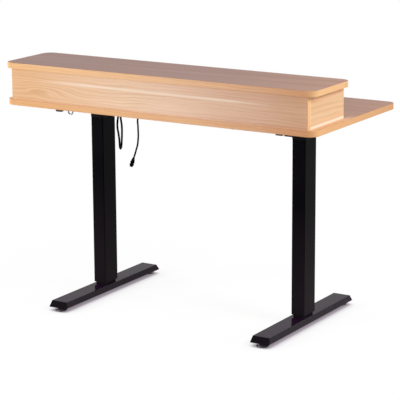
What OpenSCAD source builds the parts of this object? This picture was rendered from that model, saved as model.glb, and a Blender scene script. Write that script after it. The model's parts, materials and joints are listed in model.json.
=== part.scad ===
// Electric height-adjustable computer desk with a closed-back shelf on the worktop.
// Units are millimetres. +X is the user's right, the user sits at -Y, +Z is up.
// The origin is on the floor under the middle of the whole desk.
// The desk is drawn at its lowest height.

/* [Worktop] */
// Width of the worktop and of the shelf board
worktop_w = 1208; // [1080:1:1500]
// Depth of the worktop
worktop_d = 600; // [560:1:800]
// Thickness of the worktop
worktop_t = 20; // [18:0.5:40]
// Height of the worktop's upper face at the lowest setting
desk_h = 742; // [660:1:800]
// Corner radius of the worktop and the shelf board, seen from above
corner_r = 32; // [5:1:60]
// Thickness of the glued edging
edging_t = 1.5; // [0.6:0.1:3]

/* [Shelf] */
// Depth of the shelf board
shelf_d = 260; // [180:1:320]
// Thickness of the shelf board
shelf_t = 20; // [16:0.5:30]
// Clear height under the shelf board
shelf_gap = 108; // [80:1:300]
// Overhang of the shelf board behind the worktop's rear edge
shelf_over = 4; // [0:0.5:10]
// Thickness of the side and back panels
panel_t = 18; // [15:0.5:22]
// Distance of the panels' outer faces from the worktop's ends
panel_inset = 26; // [10:1:60]
// Distance of the back panel in front of the worktop's rear edge
back_inset = 6; // [0:0.5:30]
// Setback of the side panels from the shelf board's front edge
panel_setback = 3.5; // [0:0.5:20]

/* [Columns] */
// Distance of a column's middle from the worktop's end
column_inset = 198; // [176:1:250]
// Distance of the columns in front of the worktop's middle
column_setback = 6; // [0:1:40]
// Width of the outer tube along X
tube_w = 50; // [46:1:60]
// Depth of the outer tube along Y
tube_d = 80; // [70:1:90]
// Wall of the outer tube
tube_wall = 2; // [1.5:0.1:3]
// Outer corner radius of the outer tube
tube_r = 4; // [3.5:0.5:8]
// Gap between the outer tube's inner face and the inner tube
tube_gap = 3; // [2:0.1:4]
// Wall of the inner tube
inner_wall = 2; // [1.5:0.1:3]
// Gap between the foot and the outer tube at the lowest setting
foot_gap = 8; // [4:0.5:20]
// Lift of the worktop
travel = 450; // [200:1:460]
// Height of the glide sleeve in the outer tube's mouth
sleeve_h = 60; // [30:1:80]
// Height of the glide block on the inner tube's top
glide_h = 20; // [12:1:30]

/* [Feet] */
// Length of a foot at its lower face
foot_len = 608; // [500:1:700]
// Width of a foot at its lower face
foot_w = 71; // [60:1:90]
// Height of a foot's tube
foot_h = 21; // [20:0.5:40]
// Distance by which a foot's ends lean in over its height
foot_lean = 14; // [0:0.5:30]
// Distance by which a foot's long sides lean in over its height
side_lean = 3.5; // [0:0.5:8]
// Wall of a foot's tube
foot_wall = 2.5; // [1.5:0.1:3]
// Thickness of the plate in the inner tube's lower end
base_t = 8; // [5:0.5:12]

/* [Levelers] */
// Diameter of a leveler's pad
pad_dia = 44; // [30:1:60]
// Height of a leveler's pad
pad_h = 9; // [6:0.5:14]
// Gap between the pad and the foot as set
pad_gap = 5; // [4:0.5:8]
// Diameter of a leveler's stud
stud_dia = 8; // [6:0.5:10]
// Distance of a leveler's middle from the end of the foot
pad_inset = 22; // [20:1:60]

/* [Frame] */
// Thickness of a side bracket
bracket_t = 3; // [2:0.5:5]
// Width of a side bracket
bracket_w = 60; // [60:1:90]
// Distance of a side bracket's ends from the worktop's front and rear edges
bracket_inset = 40; // [30:1:70]
// Depth of a side bracket's flanges
flange_h = 10; // [4:0.5:16]
// Distance of the flanges' ends from the side bracket's ends
flange_inset = 60; // [55:1:90]
// Width of a rail
rail_w = 25; // [20:1:40]
// Height of a rail
rail_h = 40; // [40:1:60]
// Wall of a rail
rail_wall = 2; // [1.5:0.1:3]
// Length of a rail past the middle of each column
rail_over = 30; // [27:1:40]

/* [Drive] */
// Distance by which the gear housing stands out from the tube
collar_t = 1; // [1:0.5:4]
// Height of the gear housing below its ears
collar_h = 25; // [20:1:40]
// Thickness of the gear housing's ears
ear_t = 4; // [3:0.5:8]
// Depth of the housing's spigot in the outer tube
spigot_h = 14.5; // [8:0.5:20]
// Width of the worm gear case beside the user's left column
case_w = 28; // [20:1:40]
// Diameter of the motor
motor_dia = 52; // [40:1:54]
// Length of the motor
motor_len = 130; // [90:1:160]
// Diameter of the lifting spindle
spindle_dia = 12; // [10:0.5:16]
// Width across the flats of the cross shaft
shaft_af = 7; // [5:0.5:10]
// Diameter of the cross shaft's couplers
coupler_dia = 20; // [15:1:24]
// Length of a coupler's sleeve
coupler_len = 28; // [20:1:40]

/* [Control] */
// Width of the control box
box_w = 200; // [120:1:240]
// Depth of the control box
box_d = 65; // [40:1:70]
// Height of the control box
box_h = 30; // [24:1:36]
// Wall of the control box and of the handset
shell_t = 2.5; // [1.5:0.1:4]
// Distance of the control box's middle from the user's right column
box_inset = 196; // [170:1:240]
// Width of the handset
handset_w = 110; // [100:1:140]
// Depth of the handset
handset_d = 50; // [36:1:70]
// Height of the handset
handset_h = 22; // [20:0.5:30]
// Distance of the handset's middle from the worktop's end
handset_inset = 94; // [70:1:100]
// Diameter of a button
button_dia = 8; // [6:0.5:9]
// Press of a button
button_travel = 0.8; // [0.4:0.1:1]
// Distance between neighbouring buttons
button_pitch = 12; // [11:0.5:14]
// Diameter of the motor cable
cable_dia = 7; // [4:0.1:7.5]
// Diameter of the supply lead
lead_dia = 6; // [3:0.1:7]
// Wire diameter of the bag hook
hook_wire = 5; // [3:0.5:6]
// Inside width of the bag hook
hook_gap = 13; // [12:1:40]
// Length of the bag hook below the worktop
hook_drop = 20; // [14:1:40]

/* [Fasteners] */
// Shank diameter of the frame bolts
bolt_dia = 6; // [5:0.5:8]
// Shank diameter of the wood screws
screw_dia = 4.5; // [3.5:0.5:5]
// Diameter of the dowels
dowel_dia = 8; // [6:0.5:10]
// Length of the dowels
dowel_len = 30; // [24:1:36]

/* [Hidden] */
$fn = 48;

// Clearances
run_gap = 0.08;
seat_gap = 0.05;
hole_gap = 0.2;
stop_gap = 0.5;
face_gap = 1;

// Levels, from the floor up
foot_z = pad_h + pad_gap;
foot_top = foot_z + foot_h;
tube_z = foot_top + foot_gap;
under_z = desk_h - worktop_t;
bracket_z = under_z - bracket_t;
rail_z = bracket_z - rail_h;
ear_z = rail_z - ear_t;
tube_top = ear_z - collar_h;
shelf_z = desk_h + shelf_gap;

// Places along Y; the middle of the whole desk is the origin
leg_reach = max(foot_len / 2, foot_len / 2 - pad_inset + pad_dia / 2);
front_y = min(-worktop_d / 2, -column_setback - leg_reach);
back_y = max(worktop_d / 2 + shelf_over, leg_reach - column_setback);
worktop_y = -(front_y + back_y) / 2;
column_y = worktop_y - column_setback;
worktop_rear = worktop_y + worktop_d / 2;
worktop_front = worktop_y - worktop_d / 2;
shelf_y = worktop_rear + shelf_over - shelf_d / 2;
shelf_front = shelf_y - shelf_d / 2;
panel_rear = worktop_rear - back_inset;
side_d = panel_rear - panel_t - shelf_front - panel_setback;
side_y = shelf_front + panel_setback + side_d / 2;

// Places along X
column_gap = worktop_w - 2 * column_inset;
column_x = column_gap / 2;
panel_x = worktop_w / 2 - panel_inset;

// Columns
bore_w = tube_w - 2 * tube_wall;
bore_d = tube_d - 2 * tube_wall;
bore_r = tube_r - tube_wall;
inner_w = bore_w - 2 * tube_gap;
inner_d = bore_d - 2 * tube_gap;
inner_r = 3;
nut_dia = spindle_dia * 2;
nut_flange_dia = spindle_dia * 2 + 12;
nut_flange_t = 5;
nut_len = 34;
nut_top = tube_top - spigot_h - stop_gap;
inner_top = nut_top - nut_flange_t - glide_h;
spindle_stop_t = 4;
spindle_stop_dia = spindle_dia + 8;
spindle_run_out = 26;
spindle_z = nut_top - nut_flange_t - nut_len - travel - spindle_run_out;
spindle_top = rail_z + 16;

// Frame
housing_w = tube_w + 2 * collar_t;
housing_d = tube_d + 2 * collar_t;
rail_gap = 4.5;
rail_offset = housing_d / 2 + rail_gap + rail_w / 2;
rail_len = column_gap + 2 * rail_over;
rail_r = 3;
ear_d = 2 * rail_offset + rail_w;
rail_bolt_x = 17;
bolt_head_dia = bolt_dia * 1.9;
bolt_head_h = 4;
flange_t = 2.5;
notch_gap = 1.5;
bracket_len = worktop_d - 2 * bracket_inset;
flange_len = bracket_len - 2 * flange_inset;
bracket_screw_end = bracket_len / 2 - 30;
bracket_screw_near = 120;
bracket_screw_ys = [
    -bracket_screw_end, -bracket_screw_near, bracket_screw_near, bracket_screw_end
];
bracket_screw_len = 14;
screw_head_dia = screw_dia * 2;
screw_head_h = 2.5;

// Drive
case_lower = 22;
shaft_behind = 22;
shaft_rise = 18;
shaft_y = column_y + shaft_behind;
shaft_z = rail_z + shaft_rise;
journal_dia = 10;
journal_len = 18;
motor_ahead = 18;
motor_cap = 14;
motor_seam = 18;
motor_y = column_y - motor_ahead;
motor_z = bracket_z - motor_dia / 2 - 1;
case_x = -column_x + housing_w / 2 + case_w;
motor_end = case_x + motor_len;
coupler_gap = 1;
shaft_grip = 22;

// Feet and levelers
pad_offset = foot_len / 2 - pad_inset;
boss_dia = stud_dia + 10;
boss_h = 10;
stud_top = foot_z + foot_wall + boss_h - 0.5;
foot_bolt_x = 11;
foot_bolt_y = 25;
foot_bolt_head_dia = bolt_dia * 1.7;
foot_bolt_head_h = 6;
access_dia = bolt_dia * 2.4;

// Shelf fasteners
shelf_screw_dia = 5;
shelf_screw_grip = 40;
shelf_screw_head_dia = 10;
shelf_screw_head_h = 3;
dowel_in_board = shelf_t * 0.6;
side_fix_inset = 50;
back_fix_x = [-360, -120, 120, 360];
side_fix_x = panel_x - panel_t / 2;
side_fix_ys = [side_y - side_d / 2 + side_fix_inset, side_y + side_d / 2 - side_fix_inset];
back_fix_y = panel_rear - panel_t / 2;

// Control box, glands and clips
box_x = column_x - box_inset;
box_front = column_y + rail_offset + rail_w / 2 + 4.5;
box_rear = box_front + box_d;
box_r = 4;
box_ear = 14;
box_ear_t = 3;
gland_dia = 10;
gland_len = 8;
gland_drop = 19;
gland_z = under_z - gland_drop;
motor_gland_beside = 3;
lead_gland_beside = 67;
motor_gland_x = box_x + motor_gland_beside;
lead_gland_x = box_x - lead_gland_beside;
clip_w = 24;
clip_d = 14;
clip_h = 11.5;
clip_z = under_z - 6;
clip_run_behind = 53;
clip_run_y = box_rear + clip_run_behind;

// Bag hook
hook_inset = 55;
hook_ahead = 31;
hook_x = column_x - hook_inset;
hook_y = worktop_rear - hook_ahead;
hook_thread = 12;

// Cable clips: three along the motor cable, and one near each column
clip_reaches = [56, 190, 320];
clip_beside_right = 9;
clip_beside_left = 53;
clip_step = 8;
clip_places = concat(
    [for (reach = clip_reaches) [box_x - reach, clip_run_y]],
    [[column_x - clip_beside_right, hook_y], [-column_x - clip_beside_left, hook_y - clip_step]]
);

// Handset
handset_x = worktop_w / 2 - handset_inset;
handset_front = worktop_front + 2;
handset_r = 5;
face_t = 1.5;
face_margin = 2;
button_z = under_z - handset_h / 2;
button_proud = 1.2;
button_depth = 5;
pocket_depth = button_depth - face_t + button_travel + 0.6;
display_w = 24;
display_h = 12;
display_t = 1;
display_inset = 18;
display_x = handset_x - handset_w / 2 + display_inset;
button_x0 = display_x + display_w / 2 + 10;

// Route of the motor cable: out of the control box, the hanging loop, up to the first clip,
// along the clips, under the rear rail and into the motor's end
motor_cable_route = [
    [213, 145, 703], [213, 153, 703], [212.8, 161, 702.5], [211.8, 170.4, 698.6],
    [209, 177.6, 690], [206.8, 178.6, 679], [208.4, 173, 663], [210.8, 168.5, 645],
    [213, 165.7, 629], [214.3, 165, 614], [214.7, 165.5, 602.2], [213.8, 167.7, 593.2],
    [211.4, 173.7, 586.4], [208, 181.8, 583.9], [204.6, 190, 586.4], [202.2, 196, 593.2],
    [201.3, 198.2, 602.2], [201.9, 198.2, 614], [205.3, 197.6, 636], [210.3, 196.9, 662],
    [209.8, 195.6, 685], [207, 194.2, 699], [201, 192.3, 709.5], [192.5, 190.7, 715],
    [182, 190, 716], [162, 190, 716], [64, 190, 716], [-35, 190, 716],
    [-125, 190, 716], [-153, 188, 715], [-170, 180.5, 713.5], [-178, 165, 711],
    [-178, 132, 699], [-176, 98, 681], [-171, 62, 670.5], [-161, 18, 674.5],
    [-164, -4, 682], [-178, -18, 689.5], [-197, -21, 692], [-214, -21, 692]
];
// Route of the supply lead: out of the control box and down to its connector
supply_lead_route = [
    [143, 145, 703], [143, 152, 703], [143, 160, 702.6], [143, 168, 698.7],
    [142.2, 173.3, 691.5], [142.2, 174.3, 682], [142.6, 172, 667], [143.9, 169.3, 652],
    [144.8, 167.3, 635], [146, 167.3, 617], [148, 168, 600], [152.3, 170, 583],
    [156.5, 172, 567], [160.5, 174, 554]
];
connector_from = [160.5, 174, 554];
connector_to = [169, 178, 524];
connector_dia = 12;

// Curve through a cord's points
function curve(a, b, c, d, t) =
    0.5 * (2 * b + (c - a) * t + (2 * a - 5 * b + 4 * c - d) * t * t
    + (3 * b - a - 3 * c + d) * t * t * t);
function steps(a, b, gap) = max(1, round(norm(b - a) / gap));
function smooth(p, gap) = [
    for (i = [0 : len(p) - 2])
        let (n = steps(p[i], p[i + 1], gap))
        for (k = [0 : n - 1])
            curve(p[max(i - 1, 0)], p[i], p[i + 1], p[min(i + 2, len(p) - 1)], k / n),
    p[len(p) - 1]
];
function unit(v) = v / norm(v);
function tangents(p) = [
    for (i = [0 : len(p) - 1]) unit(p[min(i + 1, len(p) - 1)] - p[max(i - 1, 0)])
];
// Each ring's side direction is the last one turned along with the tube
function carried(v, t) = unit(v - t * (v * t));
function sides(t, v, i = 0) =
    i == len(t) ? [] : let (u = carried(v, t[i])) concat([u], sides(t, u, i + 1));
function start_side(t) = abs(t[2]) < 0.9 ? cross(t, [0, 0, 1]) : cross(t, [1, 0, 0]);

// Tube of a given diameter swept along a cord's points
module cord(route, dia, n) {
    path = smooth(route, 2.6 * dia);
    t = tangents(path);
    s = sides(t, start_side(t[0]));
    rings = [
        for (i = [0 : len(path) - 1])
            for (k = [0 : n - 1])
                path[i] + dia / 2 * (cos(360 * k / n) * s[i] + sin(360 * k / n) * cross(t[i], s[i]))
    ];
    last = (len(path) - 1) * n;
    walls = [
        for (i = [0 : len(path) - 2])
            for (k = [0 : n - 1])
                let (a = i * n + k, b = i * n + (k + 1) % n)
                for (f = [[a, a + n, b], [b, a + n, b + n]]) f
    ];
    caps = [
        for (k = [1 : n - 2])
            for (f = [[0, k, k + 1], [last, last + k + 1, last + k]]) f
    ];
    polyhedron(rings, concat(walls, caps));
}

// Rounded rectangle about the origin
module rounded_rect(w, d, r) {
    square([w - 2 * r, d], center = true);
    square([w, d - 2 * r], center = true);
    for (x = [-1, 1])
        for (y = [-1, 1])
            translate([x * (w / 2 - r), y * (d / 2 - r)])
                circle(r);
}

// Upright bar with rounded corners, standing on z
module bar(w, d, z, h, r) {
    translate([0, 0, z])
        linear_extrude(h)
            rounded_rect(w, d, r);
}

// Box given by its lowest and highest corners
module block(low, high) {
    translate(low)
        cube(high - low);
}

// Upright pin standing on z
module pin(x, y, z, dia, h) {
    translate([x, y, z])
        cylinder(d = dia, h = h);
}

// Hexagonal head standing on z
module hex_head(x, y, z, dia, h) {
    translate([x, y, z])
        cylinder(d = dia, h = h, $fn = 6);
}

module at_column(side) {
    translate([side * column_x, column_y, 0])
        children();
}

// Places of the shelf's screws and dowels
module at_shelf_fixings() {
    for (x = [-side_fix_x, side_fix_x])
        for (y = side_fix_ys)
            translate([x, y, 0])
                children();
    for (x = back_fix_x)
        translate([x, back_fix_y, 0])
            children();
}

// Places of the side brackets' screws
module at_bracket_screws() {
    for (side = [-1, 1])
        for (y = bracket_screw_ys)
            translate([side * column_x, worktop_y + y, 0])
                children();
}

// Places of the bolts through ears, rails and brackets
module at_rail_bolts() {
    for (side = [-1, 1])
        at_column(side)
            for (x = [-1, 1])
                for (y = [-1, 1])
                    translate([x * rail_bolt_x, y * rail_offset, 0])
                        children();
}

// Places of the screws through the control box's ears
module at_box_screws() {
    for (side = [-1, 1])
        translate([box_x + side * (box_w / 2 + box_ear / 2), (box_front + box_rear) / 2, 0])
            children();
}

// Worktop and its edging
module worktop() {
    color("#b08f80")
        difference() {
            translate([0, worktop_y, 0])
                bar(worktop_w - 2 * edging_t, worktop_d - 2 * edging_t, under_z, worktop_t,
                    corner_r - edging_t);
            at_shelf_fixings() {
                pin(0, 0, under_z - 1, shelf_screw_dia + 2 * seat_gap, worktop_t + 2);
                pin(0, 0, under_z - 1, shelf_screw_head_dia + 2 * seat_gap,
                    shelf_screw_head_h + 1);
            }
            at_bracket_screws()
                pin(0, 0, under_z - 1, screw_dia + 2 * seat_gap, bracket_screw_len + 2);
            at_box_screws()
                pin(0, 0, under_z - 1, screw_dia + 2 * seat_gap, bracket_screw_len + 2);
            hook_legs(hook_wire + 2 * seat_gap, hook_thread + 1);
        }
}

module worktop_edging() {
    color("#e6b478")
        difference() {
            translate([0, worktop_y, 0])
                bar(worktop_w, worktop_d, under_z, worktop_t, corner_r);
            translate([0, worktop_y, 0])
                bar(worktop_w - 2 * edging_t, worktop_d - 2 * edging_t, under_z - 1,
                    worktop_t + 2, corner_r - edging_t);
        }
}

// Shelf board and its edging
module shelf_board() {
    color("#b08f80")
        difference() {
            translate([0, shelf_y, 0])
                bar(worktop_w - 2 * edging_t, shelf_d - 2 * edging_t, shelf_z, shelf_t,
                    corner_r - edging_t);
            at_shelf_fixings()
                pin(0, 0, shelf_z - 1, dowel_dia + 2 * seat_gap, dowel_in_board + 1.5);
        }
}

module shelf_edging() {
    color("#e6b478")
        difference() {
            translate([0, shelf_y, 0])
                bar(worktop_w, shelf_d, shelf_z, shelf_t, corner_r);
            translate([0, shelf_y, 0])
                bar(worktop_w - 2 * edging_t, shelf_d - 2 * edging_t, shelf_z - 1, shelf_t + 2,
                    corner_r - edging_t);
        }
}

// Bores for the screws from below and the dowels from above
module panel_bores() {
    at_shelf_fixings() {
        pin(0, 0, desk_h - 1, shelf_screw_dia + 2 * seat_gap, shelf_screw_grip + 2);
        pin(0, 0, shelf_z - dowel_len + dowel_in_board - 0.5, dowel_dia + 2 * seat_gap,
            dowel_len);
    }
}

module back_panel() {
    color("#e6c39b")
        difference() {
            block([-panel_x, panel_rear - panel_t, desk_h], [panel_x, panel_rear, shelf_z]);
            panel_bores();
        }
}

module side_panel(side) {
    color("#ecc896")
        difference() {
            translate([side * (panel_x - panel_t / 2), side_y, desk_h + shelf_gap / 2])
                cube([panel_t, side_d, shelf_gap], center = true);
            panel_bores();
        }
}

module shelf_screws() {
    color("silver")
        at_shelf_fixings() {
            pin(0, 0, under_z, shelf_screw_head_dia, shelf_screw_head_h);
            pin(0, 0, under_z + shelf_screw_head_h, shelf_screw_dia,
                worktop_t - shelf_screw_head_h + shelf_screw_grip);
        }
}

module shelf_dowels() {
    color("#d8b27c")
        at_shelf_fixings()
            pin(0, 0, shelf_z - dowel_len + dowel_in_board, dowel_dia, dowel_len);
}

// Side bracket: a plate with flanges that are cut away over the rails
module bracket(side) {
    color("#141416")
        difference() {
            union() {
                translate([side * column_x, worktop_y, 0])
                    bar(bracket_w, bracket_len, bracket_z, bracket_t, 6);
                for (x = [-1, 1])
                    translate([side * column_x + x * (bracket_w - flange_t) / 2, worktop_y,
                        bracket_z - flange_h / 2])
                        cube([flange_t, flange_len, flange_h], center = true);
            }
            for (y = [-1, 1])
                translate([side * column_x, column_y + y * rail_offset, bracket_z - flange_h / 2])
                    cube([bracket_w + 2, rail_w + 2 * notch_gap, flange_h], center = true);
            at_rail_bolts()
                pin(0, 0, bracket_z - 1, bolt_dia + 2 * hole_gap, bracket_t + 2);
            at_bracket_screws()
                pin(0, 0, bracket_z - 1, screw_dia + 2 * hole_gap, bracket_t + 2);
        }
}

module bracket_screws() {
    color("dimgray")
        at_bracket_screws() {
            pin(0, 0, bracket_z - screw_head_h, screw_head_dia, screw_head_h);
            pin(0, 0, bracket_z, screw_dia, bracket_t + bracket_screw_len);
        }
}

// Rail: a rectangular tube along X with bolt holes over the columns
module rail(place) {
    color("#141416")
        difference() {
            translate([-rail_len / 2, column_y + place * rail_offset, rail_z + rail_h / 2])
                rotate([90, 0, 90])
                    linear_extrude(rail_len)
                        difference() {
                            rounded_rect(rail_w, rail_h, rail_r);
                            rounded_rect(rail_w - 2 * rail_wall, rail_h - 2 * rail_wall,
                                rail_r - rail_wall);
                        }
            at_rail_bolts()
                pin(0, 0, rail_z - 1, bolt_dia + 2 * hole_gap, rail_h + 2);
        }
}

module rail_bolts() {
    color("dimgray")
        at_rail_bolts() {
            hex_head(0, 0, ear_z - bolt_head_h, bolt_head_dia, bolt_head_h);
            pin(0, 0, ear_z, bolt_dia, under_z - ear_z);
        }
}

// Gear housing on the column, with a spigot in the tube and ears under the rails
module gear_housing(side) {
    inward = -side;
    color("#101012")
        difference() {
            union() {
                at_column(side) {
                    bar(housing_w, housing_d, tube_top, bracket_z - tube_top, 5);
                    bar(bore_w, bore_d, tube_top - spigot_h, spigot_h, bore_r);
                    bar(housing_w, ear_d, ear_z, ear_t, 5);
                }
                if (side < 0) worm_case();
            }
            at_rail_bolts()
                pin(0, 0, ear_z - 1, bolt_dia + 2 * hole_gap, ear_t + 2);
            at_column(side)
                pin(0, 0, tube_top - spigot_h - 1, spindle_dia + 2 * run_gap,
                    spindle_top - tube_top + spigot_h + 1.5);
            translate([shaft_face(side) - inward * (journal_len + 0.5), shaft_y, shaft_z])
                rotate([0, inward * 90, 0])
                    cylinder(d = journal_dia + 2 * run_gap, h = journal_len + 2);
        }
}

// Face of a housing that a shaft coupler meets
function shaft_face(side) = side < 0 ? case_x : column_x - housing_w / 2;

// Worm gear case between the housing and the motor, lower where the bracket passes above
module worm_case() {
    low = [case_x - case_w - 1, motor_y - motor_dia / 2, rail_z - case_lower];
    beside_bracket = -column_x + bracket_w / 2 + face_gap;
    block(low, [case_x, column_y + housing_d / 2, bracket_z - flange_h - face_gap]);
    block([beside_bracket, low[1], low[2]],
        [case_x, column_y + housing_d / 2, bracket_z - face_gap]);
}

module motor() {
    color("#1b1b1e")
        translate([case_x, motor_y, motor_z])
            rotate([0, 90, 0])
                difference() {
                    union() {
                        cylinder(d = motor_dia, h = motor_len - motor_cap);
                        cylinder(d = motor_dia - 6, h = motor_len);
                    }
                    translate([0, 0, motor_len - motor_seam])
                        difference() {
                            cylinder(d = motor_dia + 2, h = 1.5);
                            translate([0, 0, -1])
                                cylinder(d = motor_dia - 1.5, h = 4);
                        }
                }
}

module outer_tube(side) {
    color("#17171a")
        at_column(side)
            difference() {
                bar(tube_w, tube_d, tube_z, tube_top - tube_z, tube_r);
                bar(bore_w, bore_d, tube_z - 1, tube_top - tube_z + 2, bore_r);
            }
}

module glide_sleeve(side) {
    color("#0c0c0d")
        at_column(side)
            difference() {
                bar(bore_w, bore_d, tube_z, sleeve_h, bore_r);
                bar(inner_w + 2 * run_gap, inner_d + 2 * run_gap, tube_z - 1, sleeve_h + 2,
                    inner_r + run_gap);
            }
}

// Cross shaft between the two couplers
module cross_shaft() {
    from = case_x + coupler_gap + coupler_len - shaft_grip;
    to = shaft_face(1) - coupler_gap - coupler_len + shaft_grip;
    color("silver")
        translate([from, shaft_y, shaft_z])
            rotate([0, 90, 0])
                cylinder(d = shaft_af / cos(30), h = to - from, $fn = 6);
}

// Coupler: a sleeve on the hexagonal shaft with a journal in the gear housing
module coupler(side) {
    color("gray")
        translate([shaft_face(side), shaft_y, shaft_z])
            rotate([0, -side * 90, 0])
                difference() {
                    union() {
                        translate([0, 0, coupler_gap])
                            cylinder(d = coupler_dia, h = coupler_len);
                        translate([0, 0, -journal_len])
                            cylinder(d = journal_dia, h = journal_len + coupler_gap + 1);
                    }
                    translate([0, 0, coupler_gap + coupler_len - shaft_grip])
                        cylinder(d = (shaft_af + 2 * seat_gap) / cos(30), h = shaft_grip + 1,
                            $fn = 6);
                }
}

// Lifting spindle with its stop at the lower end
module spindle(side) {
    color("silver")
        at_column(side) {
            pin(0, 0, spindle_z, spindle_dia, spindle_top - spindle_z);
            pin(0, 0, spindle_z, spindle_stop_dia, spindle_stop_t);
        }
}

module spindle_nut(side) {
    color("peru")
        at_column(side)
            difference() {
                union() {
                    pin(0, 0, nut_top - nut_flange_t, nut_flange_dia, nut_flange_t);
                    pin(0, 0, nut_top - nut_flange_t - nut_len, nut_dia, nut_len + 1);
                }
                pin(0, 0, nut_top - nut_flange_t - nut_len - 1, spindle_dia + 2 * run_gap,
                    nut_len + nut_flange_t + 2);
            }
}

// Block on the inner tube's top that slides in the outer tube and holds the nut
module glide_block(side) {
    plug_h = 20;
    color("#0c0c0d")
        at_column(side)
            difference() {
                union() {
                    bar(bore_w - 2 * run_gap, bore_d - 2 * run_gap, inner_top, glide_h,
                        bore_r - run_gap);
                    bar(inner_w - 2 * inner_wall - 2 * seat_gap,
                        inner_d - 2 * inner_wall - 2 * seat_gap, inner_top - plug_h, plug_h + 1,
                        inner_r - inner_wall);
                }
                pin(0, 0, inner_top - plug_h - 1, nut_dia + 2 * seat_gap, plug_h + glide_h + 2);
            }
}

module inner_tube(side) {
    color("#1c1c1f")
        at_column(side)
            difference() {
                bar(inner_w, inner_d, foot_top, inner_top - foot_top, inner_r);
                bar(inner_w - 2 * inner_wall, inner_d - 2 * inner_wall, foot_top + base_t,
                    inner_top - foot_top, inner_r - inner_wall);
                foot_bolt_places()
                    pin(0, 0, foot_top - 1, bolt_dia + 2 * seat_gap, base_t + 2);
            }
}

module foot_bolt_places() {
    for (x = [-foot_bolt_x, foot_bolt_x])
        for (y = [-foot_bolt_y, foot_bolt_y])
            translate([x, y, 0])
                children();
}

// Foot's outline seen along X or Y, shrunk by the wall for the hollow
module foot_outline(len, lean, wall) {
    low = len / 2 - wall;
    high = len / 2 - lean - wall;
    polygon([[-low, wall], [low, wall], [high, foot_h - wall], [-high, foot_h - wall]]);
}

// Foot's solid: its side view and its end view, each extruded, where they meet
module foot_solid(wall) {
    translate([0, 0, foot_z])
        intersection() {
            translate([-foot_w, 0, 0])
                rotate([90, 0, 90])
                    linear_extrude(2 * foot_w)
                        foot_outline(foot_len, foot_lean, wall);
            translate([0, foot_len, 0])
                rotate([90, 0, 0])
                    linear_extrude(2 * foot_len)
                        foot_outline(foot_w, side_lean, wall);
        }
}

module foot(side) {
    color("#1a191c")
        at_column(side)
            difference() {
                union() {
                    difference() {
                        foot_solid(0);
                        foot_solid(foot_wall);
                    }
                    for (y = [-pad_offset, pad_offset])
                        pin(0, y, foot_z + foot_wall / 2, boss_dia, foot_wall / 2 + boss_h);
                }
                for (y = [-pad_offset, pad_offset])
                    pin(0, y, foot_z - 1, stud_dia + 2 * run_gap, foot_wall + boss_h + 2);
                foot_bolt_places() {
                    pin(0, 0, foot_z - 1, access_dia, foot_wall + 2);
                    pin(0, 0, foot_top - foot_wall - 1, bolt_dia + 2 * hole_gap, foot_wall + 2);
                }
            }
}

module foot_bolts(side) {
    color("dimgray")
        at_column(side)
            foot_bolt_places() {
                pin(0, 0, foot_top - foot_wall - foot_bolt_head_h, foot_bolt_head_dia,
                    foot_bolt_head_h);
                pin(0, 0, foot_top - foot_wall, bolt_dia, foot_wall + base_t);
            }
}

// Leveler: a stud in the foot's boss and a round pad with a rounded rim and a raised middle
module leveler(side, place) {
    disc_h = pad_h / 2;
    rim = disc_h / 2;
    hub_dia = pad_dia * 0.7;
    color("#202024")
        at_column(side)
            translate([0, place * pad_offset, 0]) {
                pin(0, 0, 0, pad_dia - 2 * rim, disc_h);
                rotate_extrude($fn = 64)
                    translate([pad_dia / 2 - rim, rim])
                        circle(rim, $fn = 24);
                rotate_extrude($fn = 64)
                    polygon([
                        [0, disc_h - 1], [hub_dia / 2, disc_h - 1], [hub_dia / 2, disc_h + 1],
                        [stud_dia, pad_h], [0, pad_h]
                    ]);
                pin(0, 0, pad_h - 1, stud_dia, stud_top - pad_h + 1);
            }
}

// Control box under the worktop with an ear at each end
module control_box() {
    color("#151517")
        difference() {
            union() {
                translate([box_x, (box_front + box_rear) / 2, 0])
                    bar(box_w, box_d, under_z - box_h, box_h, box_r);
                translate([box_x, (box_front + box_rear) / 2, 0])
                    bar(box_w + 2 * box_ear, box_d / 2, under_z - box_ear_t, box_ear_t, box_r);
            }
            translate([box_x, (box_front + box_rear) / 2, 0])
                bar(box_w - 2 * shell_t, box_d - 2 * shell_t, under_z - box_h + shell_t,
                    box_h - 2 * shell_t, box_r - shell_t);
            at_box_screws()
                pin(0, 0, under_z - box_ear_t - 1, screw_dia + 2 * hole_gap, box_ear_t + 2);
        }
}

module control_screws() {
    color("dimgray")
        at_box_screws() {
            pin(0, 0, under_z - box_ear_t - screw_head_h, screw_head_dia, screw_head_h);
            pin(0, 0, under_z - box_ear_t, screw_dia, box_ear_t + bracket_screw_len);
        }
}

// Glands: two on the control box's rear face and one on the motor's end
module cable_glands() {
    color("#0c0c0d") {
        for (x = [motor_gland_x, lead_gland_x])
            translate([x, box_rear, gland_z])
                rotate([-90, 0, 0])
                    gland();
        translate([motor_end, motor_y, motor_z])
            rotate([0, 90, 0])
                gland();
    }
}

module gland() {
    cylinder(d = gland_dia, h = gland_len / 2);
    cylinder(d = gland_dia - 2, h = gland_len);
}

module cable_clips() {
    color("#101012")
        for (p = clip_places)
            translate([p[0], p[1], under_z - clip_h])
                difference() {
                    bar(clip_w, clip_d, 0, clip_h, 2);
                    translate([-clip_w / 2 - 1, 0, clip_z - under_z + clip_h])
                        rotate([0, 90, 0])
                            cylinder(d = cable_dia + 2 * hole_gap, h = clip_w + 2);
                }
}

module motor_cable() {
    color("#0e0e10")
        cord(motor_cable_route, cable_dia, 10);
}

module supply_lead() {
    color("#0e0e10")
        cord(supply_lead_route, lead_dia, 8);
}

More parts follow.
